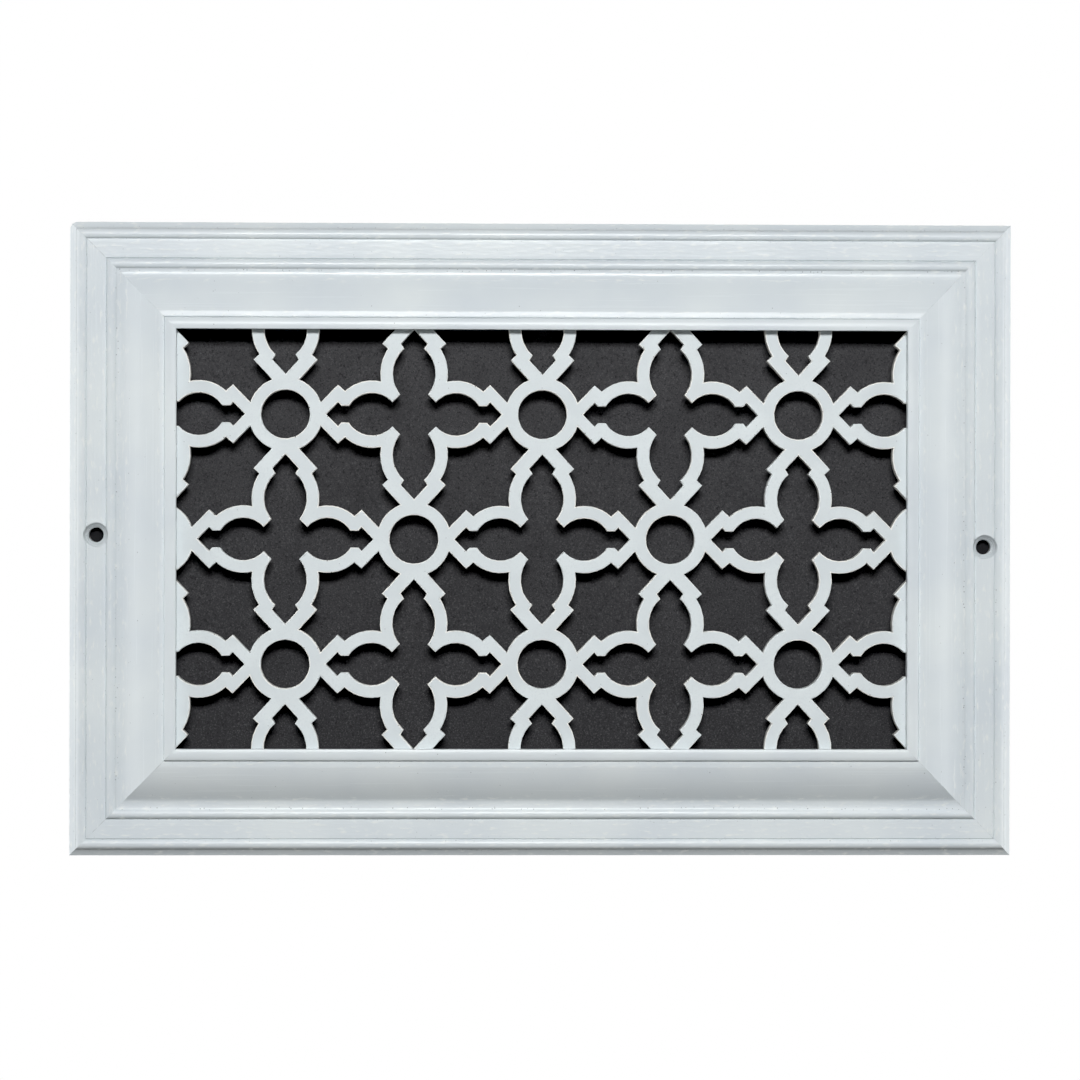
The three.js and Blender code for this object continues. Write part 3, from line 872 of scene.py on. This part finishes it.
def satin_patterns(tree):
    """The patterns that colour and relief share, and the numbers stored on the rails, all by name."""
    found = {name: stored(tree, name) for name in RAIL_NUMBERS}
    on_rail = add(tree, "ShaderNodeCombineXYZ", {0: found["along"], 1: found["across"], 2: 0.0})
    for name, per_metre in (("streaks", BRISTLES_PER_METRE), ("runs", RUNS_PER_METRE)):
        stretched = add(tree, "ShaderNodeMapping", {"Vector": on_rail, "Scale": per_metre})
        found[name] = add(tree, "ShaderNodeTexNoise", {"Vector": stretched, "Scale": 1.0, "Detail": 3.0})

    place = add(tree, "ShaderNodeTexCoord", None, "Object")
    noises = {"clouds": (CLOUD_SIZE, 3.0), "peel": (PEEL_SIZE, 2.0), "cracks": (CRACK_SIZE, 2.0),
              "seam": (SEAM_SIZE, 2.0)}
    for name, (size, detail) in noises.items():
        found[name] = noise(tree, place, size, detail)
    found["grains"] = speckles(tree, place, 2.4, 0.22, 0.8)
    found["holes"] = speckles(tree, place, 2.6, 0.12, 0.5)
    found["nicks"] = speckles(tree, place, 1.1, 0.14, 0.7)

    height = found["height"]
    shoulder = mask(tree, (height, *SHOULDER_FOOT), (height, *SHOULDER_TOP))
    bands = mask(tree, (height, *LOW_BANDS))
    found["rough"] = add(tree, "ShaderNodeMath", {0: shoulder, 1: bands}, operation="MAXIMUM")
    found["brushed"] = mask(tree, (found["rough"], 0.0, 1.0, 0.2, 1.0))
    return found


# %% Satin paint on the rails
PAINT_WHITE = colour("E4EBED")
PAINT_SHADE = colour("DAE2E7")
PAINTED_HIGHLIGHT = colour("F4F7F4")
# Grey of pinholes, nicks and the joint, and of the painted shade in the countersinks.
PINHOLE_AND_SHADE_GREY = colour("80868A")
# Grey of the cracks, and of the dust and painted shade in the creases.
DUST_AND_SHADE_GREY = colour("B4BABC")
UNDERSIDE_SHADE_GREY = colour("8E9598")
BARE_WOOD = colour("C9B08A")
OPEN_JOINT = (0.16 * MM, 0.05 * MM)
PANEL_HEIGHT, LIP_FOOT = (10.2 * MM, 10.05 * MM), (36.2 * MM, 36.35 * MM)
UNPAINTED = (0.35 * MM, 0.15 * MM)
RUBBED_HEIGHTS = (11.9 * MM, 12.4 * MM)


def satin_colour(tree, found):
    """Cool white under its coats, from the slow change of tint to the bare wood at the back."""
    height, across = found["height"], found["across"]
    tint = mask(tree, (found["clouds"], 0.35, 0.65))
    brush_marks = mask(tree, (found["streaks"], 0.5, 0.75, 0.0, 0.35), found["brushed"])
    # Darker in the creases, in a cloudy pattern: a trace of dust and painted shade.
    tone_shift = mask(tree, found["crease"], (found["clouds"], 0.3, 0.7, 0.05, 0.3))
    # Painted shade: faces that look down are greyer.
    underside_shade = mask(tree, (found["underside"], 0.35, 1.0, 0.0, 0.65))
    # Painted shade in the countersinks, darkest under the upper rim.
    hole_shade = mask(tree, found["hole_shade"], 0.65)
    cracks = mask(tree, (found["from_joint"], *OPEN_JOINT), (found["cracks"], 0.52, 0.66, 0.0, 0.8))
    # Painted highlight: lighter dapples on the runs.
    highlight_dapples = mask(tree, (found["runs"], 0.56, 0.72), found["rough"], 0.5)
    holes = mask(tree, found["holes"], 0.6)
    nicks = mask(tree, found["nicks"], found["by_crease"], 0.8)
    at_panel = mask(tree, (height, *PANEL_HEIGHT), (across, *LIP_FOOT))
    seam = mask(tree, at_panel, (found["seam"], 0.5, 0.6))
    bare = mask(tree, (height, *UNPAINTED))
    return coated(tree, PAINT_WHITE, [
        (tint, PAINT_SHADE), (brush_marks, PAINT_SHADE), (tone_shift, DUST_AND_SHADE_GREY), (underside_shade, UNDERSIDE_SHADE_GREY),
        (hole_shade, PINHOLE_AND_SHADE_GREY), (cracks, DUST_AND_SHADE_GREY), (highlight_dapples, PAINTED_HIGHLIGHT), (holes, PINHOLE_AND_SHADE_GREY),
        (nicks, PINHOLE_AND_SHADE_GREY), (seam, PINHOLE_AND_SHADE_GREY), (bare, BARE_WOOD),
    ])


def satin_paint():
    material, tree = new_material("satin_paint_brushed")
    found = satin_patterns(tree)
    normal = embossed(tree, [
        (mask(tree, found["streaks"], found["brushed"]), 0.04, 0.6),
        (found["peel"], 0.02, 0.5),
        (found["grains"], 0.05, 0.7),
        (mask(tree, found["runs"], found["rough"]), 0.14, 0.5),
    ])
    brushed = mask(tree, (found["streaks"], 0.3, 0.7, 0.25, 0.28))
    rubbed = mask(tree, (found["height"], *RUBBED_HEIGHTS, 0.0, 0.05))
    roughness = add(tree, "ShaderNodeMath", {0: brushed, 1: rubbed}, operation="ADD")
    covered_with(tree, satin_colour(tree, found), roughness, 0.28, normal)
    return material


rail_paint = satin_paint()
for piece in rails.values():
    piece.data.materials.clear()
    piece.data.materials.append(rail_paint)
print("painted:", [piece.name for piece in rails.values()])

# %% [markdown]
# The panel is fibreboard with an eggshell paint from a small roller, which leaves a fine stipple. Along the
# cut edges the colour is patchy: a painted highlight, nearly white, on the arris and painted shade, greyer,
# down the wall, with a few dark nicks.

# %% Eggshell paint on the panel
PANEL_WHITE = colour("E2EAEC")
PANEL_SHADE = colour("D9E1E4")
ARRIS_HIGHLIGHT = colour("FAFAF5")
WALL_SHADE_GREY = colour("D3D3CF")
NICK_BROWN = colour("5A554F")
STIPPLE_SIZE, PATCH_SIZE = 0.55, 14.0


def eggshell_paint():
    material, tree = new_material("eggshell_paint_on_fibreboard")
    place = add(tree, "ShaderNodeTexCoord", None, "Object")
    edge, depth = stored(tree, "cut_edge"), stored(tree, "depth")
    stipple = noise(tree, place, STIPPLE_SIZE, 3.0)
    patches = noise(tree, place, PATCH_SIZE, 4.0)

    tint = mask(tree, (patches, 0.35, 0.65))
    pores = mask(tree, (stipple, 0.5, 0.75, 0.0, 0.9))
    # Painted highlight: nearly white on the arris, in patches.
    arris_highlight = mask(tree, (edge, 0.6, 1.0), (patches, 0.4, 0.6, 0.1, 1.0))
    # Painted shade: greyer down the cut walls, in patches.
    wall = mask(tree, (depth, 0.3 * MM, 1.2 * MM), (patches, 0.35, 0.6, 0.4, 1.0))
    nicks = mask(tree, speckles(tree, place, 1.5, 0.2, 0.4), (edge, 0.2, 0.9))
    pits = mask(tree, speckles(tree, place, 2.6, 0.13, 0.5), 0.6)
    surface = coated(tree, PANEL_WHITE, [
        (tint, PANEL_SHADE), (pores, PANEL_SHADE), (arris_highlight, ARRIS_HIGHLIGHT), (wall, WALL_SHADE_GREY),
        (nicks, NICK_BROWN), (pits, PINHOLE_AND_SHADE_GREY),
    ])
    roughness = mask(tree, (stipple, 0.3, 0.7, 0.42, 0.55))
    normal = embossed(tree, [(stipple, 0.045, 0.7)])
    covered_with(tree, surface, roughness, 0.3, normal)
    return material


panel.data.materials.append(eggshell_paint())
print("painted:", panel.name)

# %% [markdown]
# The sheet is charcoal needled felt. Its fibres are far finer than the picture can show, so the fleck is
# drawn at about half a millimetre: light and dark ends of fibre at random, on a matt ground. It is a little
# paler towards the top and darker towards the bottom. In front, under the side rails, it is painted nearly
# black as shade, which shows through the screw holes.

# %% Charcoal felt
FELT_GREY = colour("3D3D3F")
FELT_LIGHT = colour("5E5E60")
FELT_DARK = colour("2D2D2F")
FELT_PALER = colour("5B5B5D")
FELT_BORE_SHADE = colour("1E1E20")
FLECK_SIZE, GAP_SIZE, WORN_PATCH_SIZE = 0.5, 0.8, 11.0
PALE_FROM, PALE_TO = -75.0, 75.0
BORE_SHADE_FROM, BORE_SHADE_TO = 134.0, 137.0


def charcoal_felt():
    material, tree = new_material("charcoal_needled_felt")
    place = add(tree, "ShaderNodeTexCoord", None, "Object")
    flecks = noise(tree, place, FLECK_SIZE, 2.0, Roughness=0.6)
    gaps = noise(tree, place, GAP_SIZE, 3.0, Roughness=0.7, Distortion=1.0)
    patches = noise(tree, place, WORN_PATCH_SIZE, 3.0)
    x = add(tree, "ShaderNodeSeparateXYZ", {0: place})
    y, z = x.node.outputs["Y"], x.node.outputs["Z"]
    sideways = add(tree, "ShaderNodeMath", {0: x}, operation="ABSOLUTE")

    # Paler towards the top, darker towards the bottom.
    tone_shift = mask(tree, (z, PALE_FROM * MM, PALE_TO * MM, 0.0, 0.45))
    light_ends = mask(tree, (flecks, 0.52, 0.72))
    dark_gaps = mask(tree, (gaps, 0.5, 0.3))
    worn = mask(tree, (patches, 0.4, 0.75, 0.0, 0.25))
    # Painted shade: nearly black on the front under the side rails, seen through the screw holes.
    bore_shade = mask(tree, (sideways, BORE_SHADE_FROM * MM, BORE_SHADE_TO * MM), (y, -0.5 * MM, -1.0 * MM, 0.0, 0.8))
    surface = coated(tree, FELT_GREY, [
        (tone_shift, FELT_PALER), (light_ends, FELT_LIGHT), (dark_gaps, FELT_DARK), (worn, FELT_DARK),
        (bore_shade, FELT_BORE_SHADE),
    ])
    normal = embossed(tree, [(flecks, 0.25, 0.7)])
    covered_with(tree, surface, 0.95, 0.15, normal)
    return material


felt.data.materials.append(charcoal_felt())
print("finished:", felt.name)

# %% [markdown]
# Each new piece stands for a solid of the frame and moves with its one body.

# %% Tie the pieces to the frame
for node, piece in rails.items():
    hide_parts(node)
    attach(piece, "root")
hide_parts("grille_panel")
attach(panel, "root")
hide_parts("filter_sheet")
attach(felt, "root")

# %% [markdown]
# A wide softbox hangs above the camera, close enough that the light falls off down the cover, and each edge
# throws a short soft shadow downwards. Two weaker ones stand far out to the sides, and two more slightly
# behind the cover light its outermost slopes. The last is for a look at the back. Blender's own lamps are
# enough here, since a lamp of the right size already throws a soft shadow.

# %% Softboxes
def softbox(name, turn, rise, distance, width, height, power):
    """A rectangular lamp that faces the cover's middle from a direction given by two angles in degrees."""
    lamp = bpy.data.lights.new(name, "AREA")
    lamp.shape = "RECTANGLE"
    lamp.size, lamp.size_y, lamp.energy = width, height, power
    holder = bpy.data.objects.new(name, lamp)
    side, up = math.radians(turn), math.radians(rise)
    away = Vector((math.sin(side) * math.cos(up), -math.cos(side) * math.cos(up), math.sin(up)))
    holder.location = away * distance
    holder.rotation_euler = away.to_track_quat("Z", "Y").to_euler()
    bpy.context.scene.collection.objects.link(holder)


softbox("key_softbox", turn=0, rise=19.8, distance=1.9, width=0.62, height=0.265, power=28.0)
for kind, turn, width, power in (("softbox", 75, 0.5, 6.5), ("rim_softbox", 102, 0.6, 11.5)):
    for side, sign in (("left", -1), ("right", 1)):
        softbox(f"{side}_{kind}", sign * turn, 3, 1.8, width, 1.4, power)
softbox("back_softbox", turn=180, rise=35, distance=2.2, width=1.0, height=1.0, power=10.0)

# %% [markdown]
# There is hardly any light from elsewhere, which keeps the shadows on the felt black. The cover hangs two
# metres above a plain pale floor. The floor is far from the lamps, so it and the background are lifted for
# the camera alone, and neither throws that light back on the cover.

# %% Background
PURE_WHITE = colour("FFFFFF")
WORLD_LIGHT = 0.025

world = bpy.data.worlds.new("white_studio")
world.use_nodes = True
world.node_tree.nodes.clear()
seen = add(world.node_tree, "ShaderNodeLightPath", None, "Is Camera Ray")
strength = mask(world.node_tree, (seen, 0.0, 1.0, WORLD_LIGHT, 1.0))
sky = add(world.node_tree, "ShaderNodeBackground", {"Color": PURE_WHITE, "Strength": strength})
add(world.node_tree, "ShaderNodeOutputWorld", {"Surface": sky})
bpy.context.scene.world = world
print("light from all round:", WORLD_LIGHT)

# %% Floor
FLOOR_PALE = colour("E8E6E2")
FLOOR_LEVEL = -2.0
FLOOR_REACH = 2.5
FLOOR_LIFT = 0.45

floor_edge = rectangle(FLOOR_REACH / MM, FLOOR_REACH / MM)
floor_points = np.stack([floor_edge.real, floor_edge.imag, np.full(4, FLOOR_LEVEL / MM)], axis=-1)
floor = mesh_object("floor", floor_points, [[0, 1, 2, 3]])
floor_material, floor_tree = new_material("pale_floor")
floor_seen = add(floor_tree, "ShaderNodeLightPath", None, "Is Camera Ray")
floor_lift = mask(floor_tree, (floor_seen, 0.0, 1.0, 0.0, FLOOR_LIFT))
floor_shader = add(floor_tree, "ShaderNodeBsdfPrincipled", {"Base Color": FLOOR_PALE, "Roughness": 0.7,
                                                            "Emission Color": PURE_WHITE,
                                                            "Emission Strength": floor_lift})
add(floor_tree, "ShaderNodeOutputMaterial", {"Surface": floor_shader})
floor.data.materials.append(floor_material)
print("floor at", FLOOR_LEVEL, "m")

# %% [markdown]
# A camera that records a black this deep clips it. The view does the same: everything below a small level of
# light comes out black, and colours are otherwise shown as they are.

# %% View
BLACK_POINT = 0.006

view = bpy.context.scene.view_settings
view.view_transform = "Standard"
view.use_curve_mapping = True
view.curve_mapping.black_level = (BLACK_POINT, BLACK_POINT, BLACK_POINT)
view.curve_mapping.update()
print("black below", BLACK_POINT)
